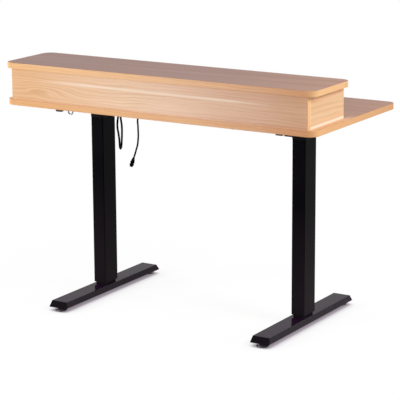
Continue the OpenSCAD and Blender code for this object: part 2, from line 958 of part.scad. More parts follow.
// Plug at the end of the supply lead, with a sleeve and two collars
module supply_connector() {
    v = connector_to - connector_from;
    length = norm(v);
    color("#0b0b0c")
        translate(connector_from)
            rotate([0, acos(v[2] / length), atan2(v[1], v[0])]) {
                cylinder(d = connector_dia - 3, h = length * 0.3);
                translate([0, 0, length * 0.2])
                    cylinder(d = connector_dia, h = length * 0.6);
                translate([0, 0, length * 0.42])
                    cylinder(d = connector_dia + 3, h = length * 0.12);
                translate([0, 0, length * 0.7])
                    cylinder(d = connector_dia + 3, h = length * 0.14);
                translate([0, 0, length * 0.84])
                    cylinder(d = connector_dia - 1, h = length * 0.16);
            }
}

// Bag hook: a bent wire screwed into the worktop
module hook_legs(dia, depth) {
    for (x = [-1, 1])
        pin(hook_x + x * (hook_gap + hook_wire) / 2, hook_y, under_z - 1, dia, depth + 1);
}

module bag_hook() {
    bend = (hook_gap + hook_wire) / 2;
    color("gainsboro") {
        for (x = [-1, 1])
            pin(hook_x + x * bend, hook_y, under_z - hook_drop + bend + hook_wire / 2, hook_wire,
                hook_drop - bend - hook_wire / 2 + hook_thread);
        translate([hook_x, hook_y, under_z - hook_drop + bend + hook_wire / 2])
            rotate([-90, 0, 0])
                rotate_extrude(angle = 180)
                    translate([bend, 0])
                        circle(d = hook_wire, $fn = 24);
    }
}

// Handset: a hollow case with a face that carries the display and the buttons
module handset_bar(w, h, y, d, r) {
    translate([handset_x, y, button_z])
        rotate([-90, 0, 0])
            linear_extrude(d)
                rounded_rect(w, h, r);
}

function button_x(i) = button_x0 + i * button_pitch;

module button_bores(dia, from, to) {
    for (i = [0 : 5])
        translate([button_x(i), from, button_z])
            rotate([-90, 0, 0])
                cylinder(d = dia, h = to - from);
}

module handset() {
    color("#161618")
        difference() {
            handset_bar(handset_w, handset_h, handset_front + face_t, handset_d - face_t,
                handset_r);
            handset_bar(handset_w - 4 * shell_t, handset_h - 4 * shell_t,
                handset_front + face_t + pocket_depth + shell_t,
                handset_d - face_t - pocket_depth - 2 * shell_t, handset_r - 2 * shell_t + 1);
            button_bores(button_dia + 1, handset_front, handset_front + face_t + pocket_depth);
        }
}

module handset_face() {
    color("#0b0b0c")
        difference() {
            handset_bar(handset_w - 2 * face_margin, handset_h - 2 * face_margin, handset_front,
                face_t, handset_r - face_margin);
            button_bores(button_dia + 2 * run_gap, handset_front - 1, handset_front + face_t + 1);
            display_block(display_w + 2 * seat_gap, display_h + 2 * seat_gap, 1);
        }
}

module display_block(w, h, ahead) {
    block([display_x - w / 2, handset_front - ahead, button_z - h / 2],
        [display_x + w / 2, handset_front + display_t, button_z + h / 2]);
}

module handset_display() {
    color("#30343a")
        display_block(display_w, display_h, 0);
}

module button(i) {
    color("#2a2a2e")
        translate([button_x(i), handset_front - button_proud, button_z])
            rotate([-90, 0, 0])
                cylinder(d = button_dia, h = button_proud + button_depth);
}

worktop();
worktop_edging();
shelf_board();
shelf_edging();
back_panel();
side_panel(1);  // side_panel_right
side_panel(-1);  // side_panel_left
shelf_screws();
shelf_dowels();
bracket(1);  // bracket_right
bracket(-1);  // bracket_left
bracket_screws();
rail(-1);  // rail_front
rail(1);  // rail_rear
rail_bolts();
gear_housing(1);  // gear_housing_right
gear_housing(-1);  // gear_housing_left
motor();
outer_tube(1);  // outer_tube_right
outer_tube(-1);  // outer_tube_left
glide_sleeve(1);  // glide_sleeve_right
glide_sleeve(-1);  // glide_sleeve_left
cross_shaft();
coupler(1);  // coupler_right
coupler(-1);  // coupler_left
spindle(1);  // spindle_right
spindle(-1);  // spindle_left
spindle_nut(1);  // spindle_nut_right
spindle_nut(-1);  // spindle_nut_left
glide_block(1);  // glide_block_right
glide_block(-1);  // glide_block_left
inner_tube(1);  // inner_tube_right
inner_tube(-1);  // inner_tube_left
foot(1);  // foot_right
foot(-1);  // foot_left
foot_bolts(1);  // foot_bolts_right
foot_bolts(-1);  // foot_bolts_left
leveler(1, -1);  // leveler_right_front
leveler(1, 1);  // leveler_right_rear
leveler(-1, -1);  // leveler_left_front
leveler(-1, 1);  // leveler_left_rear
control_box();
control_screws();
cable_glands();
cable_clips();
motor_cable();
supply_lead();
supply_connector();
bag_hook();
handset();
handset_face();
handset_display();
button(0);  // button_up
button(1);  // button_down
button(2);  // button_one
button(3);  // button_two
button(4);  // button_three
button(5);  // button_set
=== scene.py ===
import json
import math

import bmesh
import bpy
from mathutils import Matrix, Vector


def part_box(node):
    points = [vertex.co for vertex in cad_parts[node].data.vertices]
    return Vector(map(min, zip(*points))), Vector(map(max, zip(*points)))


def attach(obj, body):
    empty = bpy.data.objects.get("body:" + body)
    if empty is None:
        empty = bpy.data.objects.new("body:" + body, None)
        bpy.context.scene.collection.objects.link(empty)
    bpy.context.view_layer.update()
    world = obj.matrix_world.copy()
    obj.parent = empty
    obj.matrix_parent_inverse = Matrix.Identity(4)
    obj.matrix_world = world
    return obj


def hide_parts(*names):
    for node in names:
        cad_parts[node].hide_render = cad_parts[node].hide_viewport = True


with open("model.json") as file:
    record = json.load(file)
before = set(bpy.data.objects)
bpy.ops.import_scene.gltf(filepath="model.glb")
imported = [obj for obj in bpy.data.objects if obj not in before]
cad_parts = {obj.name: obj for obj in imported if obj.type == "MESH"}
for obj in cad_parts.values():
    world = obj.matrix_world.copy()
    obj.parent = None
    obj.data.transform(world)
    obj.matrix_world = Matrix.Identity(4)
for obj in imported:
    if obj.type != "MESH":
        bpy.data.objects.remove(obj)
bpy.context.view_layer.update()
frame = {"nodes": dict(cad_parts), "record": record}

nodes = frame["nodes"]
MM = 0.001


# Camera: the photograph's place, direction and lens

CAMERA_PLACE = Vector((-3.232, 5.291, 1.862))
CAMERA_YAW = 0.5486
CAMERA_PITCH = 0.2332
CAMERA_ROLL = -0.0059
CAMERA_LENS = 164.8
SENSOR = 36.0


def add_camera():
    forward = Vector((
        math.sin(CAMERA_YAW) * math.cos(CAMERA_PITCH),
        -math.cos(CAMERA_YAW) * math.cos(CAMERA_PITCH),
        -math.sin(CAMERA_PITCH),
    ))
    level = Vector((-math.cos(CAMERA_YAW), -math.sin(CAMERA_YAW), 0.0))
    upright = level.cross(forward)
    right = level * math.cos(CAMERA_ROLL) + upright * math.sin(CAMERA_ROLL)
    up = upright * math.cos(CAMERA_ROLL) - level * math.sin(CAMERA_ROLL)
    data = bpy.data.cameras.new("camera")
    data.sensor_width = SENSOR
    data.sensor_fit = "HORIZONTAL"
    data.lens = CAMERA_LENS
    data.clip_end = 100.0
    camera = bpy.data.objects.new("camera", data)
    turn = Matrix((right, up, -forward)).transposed().to_4x4()
    camera.matrix_world = Matrix.Translation(CAMERA_PLACE) @ turn
    bpy.context.scene.collection.objects.link(camera)
    bpy.context.scene.camera = camera


# Cords: the routes of the CAD model, in millimetres

MOTOR_CABLE_ROUTE = [
    (213, 145, 703), (213, 153, 703), (212.8, 161, 702.5), (211.8, 170.4, 698.6),
    (209, 177.6, 690), (206.8, 178.6, 679), (208.4, 173, 663), (210.8, 168.5, 645),
    (213, 165.7, 629), (214.3, 165, 614), (214.7, 165.5, 602.2), (213.8, 167.7, 593.2),
    (211.4, 173.7, 586.4), (208, 181.8, 583.9), (204.6, 190, 586.4), (202.2, 196, 593.2),
    (201.3, 198.2, 602.2), (201.9, 198.2, 614), (205.3, 197.6, 636), (210.3, 196.9, 662),
    (209.8, 195.6, 685), (207, 194.2, 699), (201, 192.3, 709.5), (192.5, 190.7, 715),
    (182, 190, 716), (162, 190, 716), (64, 190, 716), (-35, 190, 716),
    (-125, 190, 716), (-153, 188, 715), (-170, 180.5, 713.5), (-178, 165, 711),
    (-178, 132, 699), (-176, 98, 681), (-171, 62, 670.5), (-161, 18, 674.5),
    (-164, -4, 682), (-178, -18, 689.5), (-197, -21, 692), (-214, -21, 692),
]
SUPPLY_LEAD_ROUTE = [
    (143, 145, 703), (143, 152, 703), (143, 160, 702.6), (143, 168, 698.7),
    (142.2, 173.3, 691.5), (142.2, 174.3, 682), (142.6, 172, 667), (143.9, 169.3, 652),
    (144.8, 167.3, 635), (146, 167.3, 617), (148, 168, 600), (152.3, 170, 583),
    (156.5, 172, 567), (160.5, 174, 554),
]
MOTOR_CABLE_DIAMETER = 7
SUPPLY_LEAD_DIAMETER = 6
CORD_STEPS = 8


def smooth_route(route):
    """Points along one smooth curve through the route's points, in metres."""
    points = [Vector(p) * MM for p in route]
    last = len(points) - 1
    curve = []
    for i in range(last):
        a = points[max(i - 1, 0)]
        b = points[i]
        c = points[i + 1]
        d = points[min(i + 2, last)]
        for k in range(CORD_STEPS):
            t = k / CORD_STEPS
            curve.append(0.5 * (
                2 * b + (c - a) * t + (2 * a - 5 * b + 4 * c - d) * t * t
                + (3 * b - a - 3 * c + d) * t ** 3
            ))
    curve.append(points[last])
    return curve


def add_cord(name, node, route, diameter, material):
    """A round cord along the route. Returns the piece and its length in metres."""
    points = smooth_route(route)
    data = bpy.data.curves.new(name, "CURVE")
    data.dimensions = "3D"
    data.bevel_depth = diameter * MM / 2
    data.bevel_resolution = 5
    data.use_fill_caps = True
    spline = data.splines.new("POLY")
    spline.points.add(len(points) - 1)
    for spot, point in zip(spline.points, points):
        spot.co = (*point, 1.0)
    spline.use_smooth = True
    data.materials.append(material)
    piece = bpy.data.objects.new(name, data)
    bpy.context.scene.collection.objects.link(piece)
    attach(piece, "desk_top")
    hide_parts(node)
    length = sum((b - a).length for a, b in zip(points, points[1:]))
    return piece, length


# Node helpers

def linear(red, green, blue):
    """Linear colour of an sRGB colour given from 0 to 255."""
    def one(value):
        value = value / 255.0
        return value / 12.92 if value <= 0.04045 else ((value + 0.055) / 1.055) ** 2.4
    return (one(red), one(green), one(blue), 1.0)


class Finish:
    """A material's node tree, with short calls for the nodes that the finishes use."""

    def __init__(self, name):
        self.material = bpy.data.materials.new(name)
        self.material.use_nodes = True
        self.nodes = self.material.node_tree.nodes
        self.links = self.material.node_tree.links
        self.nodes.clear()
        self.output = self.nodes.new("ShaderNodeOutputMaterial")
        self.shader = self.nodes.new("ShaderNodeBsdfPrincipled")
        self.links.new(self.shader.outputs["BSDF"], self.output.inputs["Surface"])
        self.place = self.nodes.new("ShaderNodeTexCoord").outputs["Object"]

    def feed(self, socket, value):
        if isinstance(value, bpy.types.NodeSocket):
            self.links.new(value, socket)
        else:
            socket.default_value = value

    def math(self, operation, first, second=0.0, third=0.0):
        node = self.nodes.new("ShaderNodeMath")
        node.operation = operation
        for socket, value in zip(node.inputs, (first, second, third)):
            self.feed(socket, value)
        return node.outputs[0]

    def along(self, direction):
        """The coordinate of the place along a direction, in metres."""
        node = self.nodes.new("ShaderNodeVectorMath")
        node.operation = "DOT_PRODUCT"
        self.feed(node.inputs[0], self.place)
        node.inputs[1].default_value = direction
        return node.outputs["Value"]

    def vector(self, x, y, z):
        node = self.nodes.new("ShaderNodeCombineXYZ")
        for socket, value in zip(node.inputs, (x, y, z)):
            self.feed(socket, value)
        return node.outputs[0]

    def noise(self, vector, scale=1.0, detail=2.0, roughness=0.5, distortion=0.0):
        node = self.nodes.new("ShaderNodeTexNoise")
        self.feed(node.inputs["Vector"], vector)
        node.inputs["Scale"].default_value = scale
        node.inputs["Detail"].default_value = detail
        node.inputs["Roughness"].default_value = roughness
        node.inputs["Distortion"].default_value = distortion
        return node.outputs["Fac"]

    def ramp(self, factor, stops):
        """Colour ramp. stops are pairs of a position and a colour."""
        node = self.nodes.new("ShaderNodeValToRGB")
        self.feed(node.inputs["Fac"], factor)
        elements = node.color_ramp.elements
        while len(elements) < len(stops):
            elements.new(0.5)
        for element, (position, colour) in zip(elements, stops):
            element.position = position
            element.color = colour
        return node.outputs["Color"]

    def span(self, value, low, high, to_low, to_high, kind="LINEAR"):
        """The value's range from low to high, mapped to another and held at its ends."""
        node = self.nodes.new("ShaderNodeMapRange")
        node.interpolation_type = kind
        self.feed(node.inputs["Value"], value)
        node.inputs["From Min"].default_value = low
        node.inputs["From Max"].default_value = high
        node.inputs["To Min"].default_value = to_low
        node.inputs["To Max"].default_value = to_high
        return node.outputs["Result"]

    def mix(self, factor, first, second, blend="MIX"):
        node = self.nodes.new("ShaderNodeMixRGB")
        node.blend_type = blend
        self.feed(node.inputs["Fac"], factor)
        self.feed(node.inputs["Color1"], first)
        self.feed(node.inputs["Color2"], second)
        return node.outputs["Color"]

    def bump(self, height, distance, strength=1.0):
        node = self.nodes.new("ShaderNodeBump")
        node.inputs["Distance"].default_value = distance
        node.inputs["Strength"].default_value = strength
        self.feed(node.inputs["Height"], height)
        self.feed(self.shader.inputs["Normal"], node.outputs["Normal"])

    def set(self, name, value):
        self.feed(self.shader.inputs[name], value)


# Wood decors

ALONG_X = (1.0, 0.0, 0.0)
ALONG_Y = (0.0, 1.0, 0.0)
ALONG_Z = (0.0, 0.0, 1.0)
ALONG_EDGE = (1.0, 1.0, 0.0)
TILTED_Z = (0.0, -0.040, 1.0)
RING_GAP = 0.0105

# Light, middle and dark tones of each decor
PANEL_TONES = (linear(248, 213, 184), linear(241, 203, 171), linear(213, 163, 126))
SIDE_TONES = (linear(240, 203, 162), linear(234, 191, 146), linear(216, 164, 117))
# The boards' tones are a darker, greyer copy of the beech decor: painted shade for the dimly lit tops
BOARD_TONES = (linear(197, 150, 126), linear(186, 136, 113), linear(162, 112, 92))
EDGE_TONES = (linear(248, 202, 158), linear(240, 190, 146), linear(216, 160, 116))
# Tone for painted light on the boards' ends and corners
EDGE_END_LIGHT_TONE = linear(244, 194, 138)
BAND_TONE = linear(245, 194, 134)
STREAK_TONE = linear(252, 228, 208)
# Painted light: a pale tone for painted highlights and sheen, and multipliers for painted shade
PAINTED_HIGHLIGHT_TONE = linear(255, 238, 218)
SHADE_TONE = (1.0, 0.87, 0.77, 1.0)
FRONT_SHADE = (0.82, 0.76, 0.73, 1.0)

# Painted light falloff: slow change of the decors' tone from the user's left end to the right one,
# standing in for light that weakens along the desk
PANEL_DRIFT = [
    (0.05, (0.82, 0.70, 0.62, 1.0)), (0.16, (0.86, 0.78, 0.77, 1.0)), (0.45, (0.98, 0.97, 1.0, 1.0)),
    (0.60, (0.98, 0.97, 0.94, 1.0)), (0.95, (0.85, 0.73, 0.55, 1.0)),
]
EDGE_DRIFT = [
    (0.04, (0.83, 0.70, 0.62, 1.0)), (0.16, (0.88, 0.82, 0.83, 1.0)), (0.40, (1.0, 1.0, 1.0, 1.0)),
    (0.67, (1.0, 1.0, 0.93, 1.0)), (0.94, (0.91, 0.88, 0.73, 1.0)),
]
BOARD_DRIFT = [
    (0.0, (1.0, 1.0, 1.0, 1.0)), (0.12, (0.93, 0.95, 1.0, 1.0)), (0.33, (0.815, 0.87, 1.0, 1.0)),
    (1.0, (0.75, 0.82, 1.0, 1.0)),
]
# Multiplier for painted shade on the worktop's edging, under the shelf
LOWER_EDGE_SHADE = (0.95, 0.89, 0.83, 1.0)


class Wood(Finish):
    """Printed wood decor: growth rings, broad tonal patches, fine lines and pores."""

    def __init__(self, name, tones, along, across, seed):
        super().__init__(name)
        self.a = self.along(along)
        self.c = self.along(across)
        self.tones = tones
        self.seed = seed
        self.figure = None
        wander = self.noise(self.stretched(1.7, 5.0, self.c, 0.0))
        ripple = self.noise(self.stretched(11.0, 14.0, self.c, 1.0), detail=1.0)
        wavy = self.math("MULTIPLY_ADD", wander, 0.034, self.c)
        self.level = self.math("MULTIPLY_ADD", ripple, 0.009, wavy)
        self.colour = tones[1]

    def scaled(self, value, factor):
        return self.math("MULTIPLY", value, factor)

    def stretched(self, along, across, level, shift):
        """Place for a noise that is long with the grain and short across it."""
        return self.vector(self.scaled(self.a, along), self.scaled(level, across), self.seed + shift)

    def add_figure(self, tip, across, length):
        """Nested rings that point along the grain at their tip, as where a board is cut near the
        heart, and arch over the far side of a low ridge."""
        away = self.scaled(self.math("SUBTRACT", self.c, across), 1.0 / 0.020)
        ridge = self.math("EXPONENT", self.scaled(self.math("MULTIPLY", away, away), -1.0))
        rise = self.span(self.a, tip, tip + length, 0.0, 1.0, "SMOOTHSTEP")
        fall = self.span(self.a, tip + 1.1 * length, tip + 2.0 * length, 1.0, 0.3, "SMOOTHSTEP")
        self.figure = self.math("MULTIPLY", ridge, self.math("MULTIPLY", rise, fall))
        self.level = self.math("MULTIPLY_ADD", self.figure, -0.022, self.level)

    def add_grain(self, ring_share=0.6, ring_gap=RING_GAP):
        light, middle, dark = self.tones
        broad = self.noise(self.stretched(1.2, 22.0, self.level, 3.0), detail=3.0)
        self.colour = self.mix(self.span(broad, 0.40, 0.66, 0.0, 0.9), middle, light)
        jitter = self.noise(self.stretched(3.0, 50.0, self.level, 5.0), detail=3.0)
        turns = self.math("MULTIPLY_ADD", self.level, 2 * math.pi / ring_gap, self.scaled(jitter, 9.0))
        rings = self.math("SINE", turns)
        strength = self.noise(self.stretched(3.0, 18.0, self.c, 7.0))
        share = self.span(strength, 0.40, 0.66, 0.1, ring_share)
        if self.figure:
            share = self.math("MULTIPLY_ADD", self.figure, 0.25, share)
        shade = self.math("MULTIPLY", self.span(rings, 0.1, 1.0, 0.0, 1.0), share)
        self.colour = self.mix(shade, self.colour, dark)

    def add_pores(self):
        dark = self.tones[2]
        lines = self.noise(self.stretched(5.0, 420.0, self.level, 9.0), detail=2.0)
        self.colour = self.mix(self.span(lines, 0.52, 0.75, 0.0, 0.35), self.colour, dark)
        flecks = self.noise(self.stretched(60.0, 1000.0, self.c, 17.0), detail=1.0)
        self.colour = self.mix(self.span(flecks, 0.60, 0.74, 0.0, 0.3), self.colour, dark)
        self.set("Roughness", self.span(lines, 0.3, 0.7, 0.50, 0.42))
        self.bump(self.math("ADD", lines, flecks), 0.00012, 0.5)

    def add_drift(self, stops):
        """Painted light falloff: slow change of tone along X."""
        share = self.span(self.along(ALONG_X), -0.6, 0.6, 0.0, 1.0)
        self.colour = self.mix(1.0, self.colour, self.ramp(share, stops), "MULTIPLY")

    def add_streak(self, height, start, end):
        """Pale, nearly level streak that fades at its ends."""
        middle = self.math("MULTIPLY_ADD", self.a, 0.004, height)
        near = self.math("ABSOLUTE", self.math("SUBTRACT", self.c, middle))
        body = self.span(near, 0.0015, 0.0065, 0.75, 0.0)
        rise = self.span(self.a, start, start + 0.16, 0.0, 1.0)
        fall = self.span(self.a, end - 0.20, end, 1.0, 0.0)
        self.colour = self.mix(
            self.math("MULTIPLY", body, self.math("MULTIPLY", rise, fall)), self.colour, STREAK_TONE)

    def paint(self, share, tone, blend="MIX"):
        """Another tone where share is 1."""
        self.colour = self.mix(share, self.colour, tone, blend)

    def finish(self, specular=0.2):
        self.set("Base Color", self.colour)
        self.set("Specular IOR Level", specular)
        return self.material


# Places on the desk that the finishes refer to, from the CAD pieces' boxes

BACK_PANEL_LOW, BACK_PANEL_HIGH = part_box("back_panel")
PANEL_END = BACK_PANEL_HIGH.x
PANEL_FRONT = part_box("side_panel_left")[0].y
PANEL_REAR = BACK_PANEL_HIGH.y
PANEL_THICKNESS = BACK_PANEL_HIGH.y - BACK_PANEL_LOW.y
WORKTOP_TOP = BACK_PANEL_LOW.z
SHELF_UNDER = BACK_PANEL_HIGH.z
BOARD_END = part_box("worktop_edging")[1].x


def beyond(wood, value, edge, width):
    """0 up to the edge, and 1 from a width past it."""
    return wood.span(value, edge, edge + width, 0.0, 1.0)


def below(wood, value, edge, width):
    """1 up to a width before the edge, and 0 from the edge on."""
    return wood.span(value, edge - width, edge, 1.0, 0.0)


def board_decor():
    """Boards, with painted light on the worktop: a warmer strip beside each side panel for light
    bounced off it, and a pale strip behind the back panel for its reflection.
    """
    wood = Wood("board", BOARD_TONES, ALONG_X, ALONG_Y, 2.0)
    wood.add_figure(-0.30, -0.17, 0.3)
    wood.add_grain(0.5)
    wood.add_pores()
    wood.add_drift(BOARD_DRIFT)
    # Painted bounce light: warm edging tone on the worktop's strips beside the side panels
    past_panel = beyond(wood, wood.math("ABSOLUTE", wood.a), PANEL_END - 0.001, 0.002)
    beside_panel = beyond(wood, wood.c, PANEL_FRONT - 0.060, 0.080)
    strip = wood.math("MULTIPLY", past_panel, beside_panel)
    on_worktop = below(wood, wood.along(ALONG_Z), WORKTOP_TOP + 0.010, 0.002)
    wood.paint(wood.math("MULTIPLY", strip, on_worktop), EDGE_TONES[1])
    # Painted reflection: pale panel tone on the worktop's strip behind the back panel
    behind_panel = beyond(wood, wood.c, PANEL_REAR - 0.002, 0.001)
    wood.paint(wood.math("MULTIPLY", behind_panel, on_worktop), PANEL_TONES[0])
    return wood.finish(0.25)


def panel_decor():
    """Back panel with its pale streak and its edge-banded ends."""
    wood = Wood("panel", PANEL_TONES, ALONG_X, ALONG_Z, 11.0)
    wood.add_figure(0.26, 0.788, 0.18)
    wood.add_grain(0.42)
    wood.add_pores()
    wood.add_drift(PANEL_DRIFT)
    wood.add_streak(0.813, -0.45, 0.47)
    ends = beyond(wood, wood.math("ABSOLUTE", wood.a), PANEL_END - 0.0005, 0.0002)
    wood.paint(ends, BAND_TONE)
    return wood.finish()


def side_panel_decor():
    """Side panels: edge-banded fronts, a painted highlight along the rear edge, and on the left one
    a painted sheen of reflected light along the foot and painted shade from the shelf along the top."""
    wood = Wood("side_panel", SIDE_TONES, ALONG_Y, TILTED_Z, 23.0)
    wood.add_grain(0.6, 0.018)
    wood.add_pores()
    wood.paint(below(wood, wood.a, PANEL_FRONT + 0.0005, 0.0002), BAND_TONE)
    height = wood.along(ALONG_Z)
    # Painted sheen: pale band along the foot of the left panel's outer face, for lamp light reflected
    # off the worktop
    outside = below(wood, wood.along(ALONG_X), 0.0005 - PANEL_END, 0.0005)
    low = below(wood, height, WORKTOP_TOP + 0.0110, 0.004)
    wood.paint(wood.math("MULTIPLY", low, outside), PAINTED_HIGHLIGHT_TONE)
    # Painted shade: darker, warmer tone along the top of the left panel's outer face, under the shelf
    high = beyond(wood, height, SHELF_UNDER - 0.026, 0.008)
    wood.paint(wood.math("MULTIPLY", high, outside), SHADE_TONE, "MULTIPLY")
    # Painted highlight: pale line along the rear edge
    painted_edge_highlight = beyond(wood, wood.a, PANEL_REAR - PANEL_THICKNESS - 0.002, 0.001)
    wood.paint(wood.scaled(painted_edge_highlight, 0.7), PAINTED_HIGHLIGHT_TONE)
    return wood.finish()


def edging_decor():
    """Edging: painted light on the ends and round the corners, painted shade toward the front and on
    the worktop's edging.
    """
    wood = Wood("edging", EDGE_TONES, ALONG_EDGE, ALONG_Z, 5.0)
    wood.add_grain(0.4)
    wood.add_pores()
    wood.add_drift(EDGE_DRIFT)
    # Painted light: brighter, warmer tone on the boards' ends and round the corners
    side = beyond(wood, wood.math("ABSOLUTE", wood.along(ALONG_X)), BOARD_END - 0.026, 0.022)
    wood.paint(wood.scaled(side, 0.85), EDGE_END_LIGHT_TONE)
    # Painted shade on the ends, deeper toward the front
    toward_front = wood.span(wood.along(ALONG_Y), -0.30, 0.25, 1.0, 0.0)
    wood.paint(wood.math("MULTIPLY", side, toward_front), FRONT_SHADE, "MULTIPLY")
    # Painted shade on the worktop's edging, under the shelf
    wood.paint(below(wood, wood.c, WORKTOP_TOP + 0.010, 0.002), LOWER_EDGE_SHADE, "MULTIPLY")
    return wood.finish()


def dowel_decor():
    wood = Wood("dowel", EDGE_TONES, ALONG_Z, ALONG_X, 31.0)
    wood.add_grain()
    wood.add_pores()
    return wood.finish()


# Metals, plastics and rubber

# Tone of the painted floor reflection low on the columns
FLOOR_REFLECTION_TONE = linear(32, 26, 30)
# Painted light and shade: the feet's ends, long sides and top get their own tones for how each face is
# lit
FOOT_TONE = linear(20, 17, 20)
FOOT_SIDE_TONE = linear(50, 43, 49)
FOOT_TOP_TONE = linear(38, 18, 40)
FOOT_SHEEN = (0.96, 0.81, 1.0, 1.0)
FOOT_LOW, FOOT_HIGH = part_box("foot_right")
FOOT_LEAN = 0.014
FOOT_MIDDLE = (FOOT_LOW.y + FOOT_HIGH.y) / 2
FOOT_TOP_LENGTH = FOOT_HIGH.y - FOOT_LOW.y - 2 * FOOT_LEAN
FOOT_TOP = FOOT_HIGH.z


def powder_coat(name, tone, high_tone, roughness, specular=0.05, floor_reflection_height=0.0):
    """Black powder coat with a fine orange peel, faint dust in patches and, low down, a lighter tone
    that is a painted reflection of the floor.
    """
    coat = Finish(name)
    patches = coat.noise(coat.place, 9.0, 3.0)
    grain = coat.noise(coat.place, 900.0, 1.0)
    colour = coat.mix(coat.span(patches, 0.35, 0.7, 0.0, 1.0), tone, high_tone)
    if floor_reflection_height:
        # Painted reflection: lighter tone towards the floor
        floor_reflection = coat.span(coat.along(ALONG_Z), 0.04, floor_reflection_height, 1.0, 0.0)
        colour = coat.mix(floor_reflection, colour, FLOOR_REFLECTION_TONE)
    coat.set("Base Color", colour)
    coat.set("Roughness", coat.span(patches, 0.3, 0.7, roughness - 0.04, roughness + 0.05))
    coat.set("Specular IOR Level", specular)
    coat.bump(grain, 0.0001, 0.35)
    return coat.material


def foot_coat(name):
    """Black powder coat of the feet, with painted light and shade as its own tone on each face
    (lighter long sides, dark ends, a purple top) and a tinted sheen.
    """
    coat = Finish(name)
    patches = coat.noise(coat.place, 14.0, 3.0)
    grain = coat.noise(coat.place, 900.0, 1.0)
    lengthwise = coat.math("ABSOLUTE", coat.math("SUBTRACT", coat.along(ALONG_Y), FOOT_MIDDLE))
    at_end = beyond(coat, lengthwise, FOOT_TOP_LENGTH / 2, 0.001)
    at_top = beyond(coat, coat.along(ALONG_Z), FOOT_TOP - 0.001, 0.0005)
    # Painted light and shade: lighter long sides, dark ends and a purple top
    colour = coat.mix(at_end, FOOT_SIDE_TONE, FOOT_TONE)
    colour = coat.mix(at_top, colour, FOOT_TOP_TONE)
    coat.set("Base Color", coat.mix(coat.span(patches, 0.3, 0.7, 0.0, 0.35), colour, FOOT_TONE))
    coat.set("Roughness", coat.span(patches, 0.3, 0.7, 0.10, 0.19))
    coat.set("Specular IOR Level", 0.039)
    coat.set("Specular Tint", FOOT_SHEEN)
    coat.bump(grain, 0.0001, 0.35)
    return coat.material


def moulded_plastic(name, tone, high_tone, roughness, texture=1500.0, specular=0.35):
    """Moulded plastic with a spark-eroded texture."""
    plastic = Finish(name)
    patches = plastic.noise(plastic.place, 25.0, 2.0)
    spark = plastic.noise(plastic.place, texture, 1.0)
    plastic.set("Base Color", plastic.mix(patches, tone, high_tone))
    plastic.set("Roughness", plastic.span(spark, 0.3, 0.7, roughness - 0.05, roughness + 0.07))
    plastic.set("Specular IOR Level", specular)
    plastic.bump(spark, 0.00008, 0.4)
    return plastic.material


def plated_steel(name, tone, stain, roughness):
    """Zinc-plated steel with turning marks and slightly stained patches."""
    metal = Finish(name)
    patches = metal.noise(metal.place, 40.0, 3.0)
    marks = metal.noise(metal.vector(
        metal.math("MULTIPLY", metal.along(ALONG_X), 300.0),
        metal.math("MULTIPLY", metal.along(ALONG_Y), 300.0),
        metal.math("MULTIPLY", metal.along(ALONG_Z), 1400.0)), detail=1.0)
    metal.set("Base Color", metal.mix(metal.span(patches, 0.4, 0.7, 0.0, 0.6), tone, stain))
    metal.set("Metallic", 1.0)
    metal.set("Roughness", metal.span(marks, 0.3, 0.7, roughness - 0.06, roughness + 0.1))
    metal.bump(marks, 0.00005, 0.3)
    return metal.material


def chrome(name):
    """Polished chrome with a trace of haze."""
    metal = Finish(name)
    haze = metal.noise(metal.place, 120.0, 2.0)
    metal.set("Base Color", metal.mix(haze, linear(150, 150, 154), linear(128, 129, 134)))
    metal.set("Metallic", 1.0)
    metal.set("Roughness", metal.span(haze, 0.3, 0.7, 0.05, 0.12))
    return metal.material


def cable_sheath(name):
    """Black sheath with a faint lengthwise sheen."""
    sheath = Finish(name)
    patches = sheath.noise(sheath.place, 60.0, 2.0)
    sheath.set("Base Color", sheath.mix(patches, linear(3, 3, 4), linear(7, 7, 8)))
    sheath.set("Roughness", sheath.span(patches, 0.3, 0.7, 0.5, 0.6))
    sheath.set("Specular IOR Level", 0.02)
    sheath.bump(sheath.noise(sheath.place, 700.0, 1.0), 0.0001, 0.3)
    return sheath.material


def make_materials():
    return {
        "board": board_decor(),
        "edging": edging_decor(),
        "panel": panel_decor(),
        "side_panel": side_panel_decor(),
        "dowel": dowel_decor(),
        "black_steel": powder_coat(
            "black_steel", linear(6, 4, 7), linear(9, 7, 10), 0.40, 0.02, 0.42),
        "foot_steel": foot_coat("foot_steel"),
        "housing": powder_coat("housing", linear(8, 8, 9), linear(13, 13, 14), 0.5),
        "motor": powder_coat("motor", linear(12, 12, 13), linear(20, 20, 22), 0.38),
        "black_plastic": moulded_plastic(
            "black_plastic", linear(11, 11, 12), linear(18, 18, 19), 0.5),
        # The pads' base is a lighter mauve grey than their black plastic: painted light standing in
        # for the glossy rim's highlights
        "pad": moulded_plastic("pad", linear(76, 68, 75), linear(86, 78, 85), 0.10, 1500.0, 1.0),
        "face": moulded_plastic("face", linear(10, 10, 11), linear(15, 15, 17), 0.16, 300.0),
        "button": moulded_plastic("button", linear(44, 44, 47), linear(56, 56, 60), 0.42),
        "sign": moulded_plastic("sign", linear(186, 188, 190), linear(200, 202, 204), 0.5),
        "display": moulded_plastic("display", linear(24, 28, 33), linear(30, 35, 40), 0.08, 200.0),
        "zinc": plated_steel("zinc", linear(186, 186, 182), linear(150, 146, 136), 0.34),
        "brass": plated_steel("brass", linear(196, 158, 88), linear(160, 122, 62), 0.3),
        "chrome": chrome("chrome"),
        "cable": cable_sheath("cable"),
    }


SPECIAL_FINISH = {
    "side_panel_right": "side_panel",
    "side_panel_left": "side_panel",
    "foot_right": "foot_steel",
    "foot_left": "foot_steel",
    "supply_connector": "cable",
}


